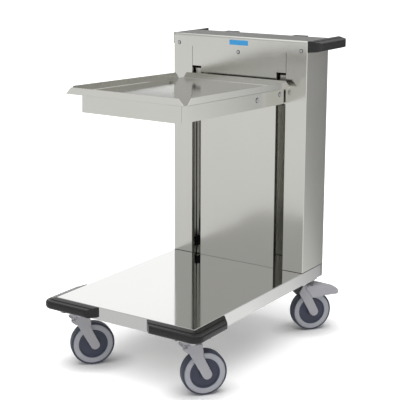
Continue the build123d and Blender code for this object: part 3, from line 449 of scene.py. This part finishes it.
def only_in_reflections(sheet, strength):
    """Make a sheet glow for reflections alone."""
    material, tree, output = new_material(sheet.name + "_glow")
    tree.links.new(glow(tree, strength), output.inputs["Surface"])
    sheet.data.materials.append(material)
    sheet.visible_camera = False
    sheet.visible_diffuse = False
    sheet.visible_transmission = False
    sheet.visible_shadow = False


def board(name, middle, width, low, high, facing, strength):
    """An upright board that only reflections see, as a studio board stands out of the picture."""
    along = (math.cos(math.radians(facing)), math.sin(math.radians(facing)))
    ends = []
    for side in (-width / 2, width / 2):
        ends.append((middle[0] + side * along[0], middle[1] + side * along[1]))
    corners = [(*ends[0], low), (*ends[1], low), (*ends[1], high), (*ends[0], high)]
    only_in_reflections(plane(name, corners), strength)


RAIL_BOARD_X = 0.142
RAIL_BOARD_GAP = 0.003


def add_boards():
    """A white board behind to the left, low enough that the top of the column looks over it, two small ones
    inside the column's back that paint a reflection onto the lips of the guide rails, and one overhead, which
    gives the plastic guards and the folds of the sheets their soft glints."""
    board("back_board", (-1.15, 1.0), width=1.3, low=0.01, high=0.93, facing=33.8, strength=1.25)
    cover_low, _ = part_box("column_rear_cover")
    board_y = cover_low[1] - RAIL_BOARD_GAP
    # Painted reflection: two glowing boards inside the closed column, seen only in the rails' reflections.
    for x in (-RAIL_BOARD_X, RAIL_BOARD_X):
        board("rail_board", (x, board_y), width=0.055, low=0.24, high=0.80, facing=0, strength=0.38)
    only_in_reflections(level_plane("ceiling_board", half=1.3, y=-0.4, height=2.7), strength=1.1)


def area_light(name, place, target, size, power):
    """A soft square lamp aimed at a point, which no reflection sees."""
    data = bpy.data.lights.new(name, "AREA")
    data.shape = "RECTANGLE"
    data.size = size
    data.size_y = size
    data.energy = power
    lamp = bpy.data.objects.new(name, data)
    bpy.context.scene.collection.objects.link(lamp)
    lamp.location = place
    direction = np.array(target) - np.array(place)
    flat = math.hypot(direction[0], direction[1])
    lamp.rotation_euler = Euler((
        math.atan2(flat, -direction[2]), 0, math.atan2(-direction[0], direction[1])
    ))
    lamp.visible_glossy = False


def add_lights():
    """A large soft lamp overhead and a weaker one from the left."""
    area_light("overhead_softbox", place=(0.25, -0.6, 2.6), target=(0, -0.1, 0), size=3.2, power=80)
    area_light("front_softbox", place=(-1.2, -3.0, 2.2), target=(0, 0, 0.5), size=1.8, power=22)


def grid_object(name, points):
    """A surface through a grid of points given as rows and columns."""
    rows, columns = points.shape[:2]
    ids = np.arange(rows * columns).reshape(rows, columns)
    faces = np.stack([ids[:-1, :-1], ids[1:, :-1], ids[1:, 1:], ids[:-1, 1:]], axis=-1).reshape(-1, 4)
    mesh = bpy.data.meshes.new(name)
    mesh.from_pydata(points.reshape(-1, 3).tolist(), [], faces.tolist())
    surface = bpy.data.objects.new(name, mesh)
    bpy.context.scene.collection.objects.link(surface)
    return surface


def unit(vector):
    """A vector of length one."""
    vector = np.array(vector, float)
    return vector / np.linalg.norm(vector)


def swept(name, path, profile):
    """A strip along a path on the floor plan:
    point(i, j) = path[i] + across[i] * profile[j][0] + up * profile[j][1],
    where across[i] is the outward mitre at the path's corner i."""
    path = np.array(path, float)
    legs = np.diff(path, axis=0)
    legs /= np.linalg.norm(legs, axis=1)[:, None]
    outward = np.stack([legs[:, 1], -legs[:, 0]], axis=1)
    before = np.vstack([outward[:1], outward])
    after = np.vstack([outward, outward[-1:]])
    across = (before + after) / (1 + (before * after).sum(axis=1))[:, None]
    profile = np.array(profile, float)
    plan = path[:, None, :] + across[:, None, :] * profile[None, :, :1]
    height = np.broadcast_to(profile[None, :, 1:], (len(path), len(profile), 1))
    return grid_object(name, np.concatenate([plan, height], axis=2))


# The dark beads at the column's foot, which paint the shade line where it meets the deck, and the outer edges
# of the slots from the column's middle
DARK_BEAD_SIZE = 0.0012
DARK_BEAD_SUNK = 0.0004
DARK_BEAD_POINTS = 5
SLOT_EDGE = 0.1665


def add_dark_bead(name, path, foot):
    """A dark bead along a path: a quarter circle turned from the deck up to the sheet."""
    turns = np.linspace(0, math.pi / 2, DARK_BEAD_POINTS)
    profile = [
        (DARK_BEAD_SIZE * math.cos(turn) - DARK_BEAD_SUNK, foot + DARK_BEAD_SIZE * math.sin(turn)) for turn in turns
    ]
    dark_bead = swept(name, path, profile)
    dark_bead.data.materials.append(finishes["stop"])
    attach(dark_bead, "chassis")


def add_dark_beads():
    """Dark beads of painted shade round the foot of the column outside the slots, and a dark bead inside
    along the rear cover.
    """
    low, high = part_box("column_housing")
    cover_low, cover_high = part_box("column_rear_cover")
    middle = (low[0] + high[0]) / 2
    foot = low[2]
    left_slot = middle - SLOT_EDGE
    right_slot = middle + SLOT_EDGE
    # Painted shade: dark beads where the column's foot meets the deck, in place of the shade line there.
    add_dark_bead("left_foot_shade_line", [(low[0], high[1]), (low[0], low[1]), (left_slot, low[1])], foot)
    add_dark_bead("right_foot_shade_line", [(right_slot, low[1]), (high[0], low[1]), (high[0], high[1])], foot)
    add_dark_bead("rear_cover_dark_bead", [(cover_low[0], cover_low[1]), (cover_high[0], cover_low[1])], foot)


# The rim of the painted shade rings beyond the screw head, and a direction that no screw points in
SHADE_RING_RIM = 0.0017
SHADE_RING_THICK = 0.0005
ROUND_POINTS = 33
RIM_POINTS = 4
OFF_AXIS = (0.0, 0.1, 1.0)


def shade_ring(name, middle, facing, inner, body):
    """A dark ring under a screw head, which paints the shade round the head:
    point(i, j) = middle + ring(i) * radius[j] + facing * height[j],
    where ring(i) runs round the axis and radius and height follow a quarter circle down to the sheet."""
    facing = unit(facing)
    beside = unit(np.cross(facing, OFF_AXIS))
    above = np.cross(beside, facing)
    round_angles = np.linspace(0, 2 * math.pi, ROUND_POINTS)
    rim_angles = np.linspace(math.pi / 2, 0, RIM_POINTS)
    radius = inner + SHADE_RING_RIM * np.concatenate([[0], np.cos(rim_angles)])
    height = SHADE_RING_THICK * np.concatenate([[1], np.sin(rim_angles)])
    ring = np.cos(round_angles)[:, None] * beside + np.sin(round_angles)[:, None] * above
    points = np.array(middle) + ring[:, None, :] * radius[None, :, None] + height[None, :, None] * facing
    shade_disc = grid_object(name, points)
    # Painted shade: the ring takes the black stop finish to stand in for the shade round the screw head.
    shade_disc.data.materials.append(finishes["stop"])
    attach(shade_disc, body)


# The screws of the column face: in from its sides and down from its top
FACE_SCREW_INSET = 0.020
FACE_SCREW_DROP = 0.029
MIDDLE_SCREW_DROP = 0.046
FACE_SCREW_RADIUS = 0.0044


def add_face_shade_rings():
    """Dark rings of painted shade under the three screws of the column face."""
    low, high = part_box("column_housing")
    middle = (low[0] + high[0]) / 2
    places = {
        "left": (low[0] + FACE_SCREW_INSET, high[2] - FACE_SCREW_DROP),
        "middle": (middle, high[2] - MIDDLE_SCREW_DROP),
        "right": (high[0] - FACE_SCREW_INSET, high[2] - FACE_SCREW_DROP),
    }
    for name, (x, z) in places.items():
        shade_ring(name + "_face_shade_ring", (x, low[1], z), (0, -1, 0), FACE_SCREW_RADIUS, "chassis")


# The screws of the tilted skirt, as (along, up) from the skirt's foot at the column's face
FRAME_TILT = math.radians(1.75)
FRAME_FOOT_DROP = 0.188
FRAME_SCREWS = ((-0.159, 0.025), (-0.030, 0.030))
FRAME_SCREW_RADIUS = 0.0059
FRAME_HALF = 0.163


def add_frame_shade_rings():
    """Dark rings of painted shade under the screws on both sides of the tilted skirt."""
    low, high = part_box("column_housing")
    middle = (low[0] + high[0]) / 2
    for number, (along, up) in enumerate(FRAME_SCREWS, 1):
        y = low[1] + along * math.cos(FRAME_TILT) + up * math.sin(FRAME_TILT)
        z = high[2] - FRAME_FOOT_DROP - along * math.sin(FRAME_TILT) + up * math.cos(FRAME_TILT)
        for side_name, side in (("left", -1), ("right", 1)):
            name = f"{side_name}_frame_washer_{number}"
            shade_ring(name, (middle + side * FRAME_HALF, y, z), (side, 0, 0), FRAME_SCREW_RADIUS, "platform")


add_camera()
add_world()
add_floor()
add_boards()
add_lights()
finish_cad_nodes()
add_dark_beads()
add_face_shade_rings()
add_frame_shade_rings()
bpy.context.scene.view_settings.view_transform = "Standard"
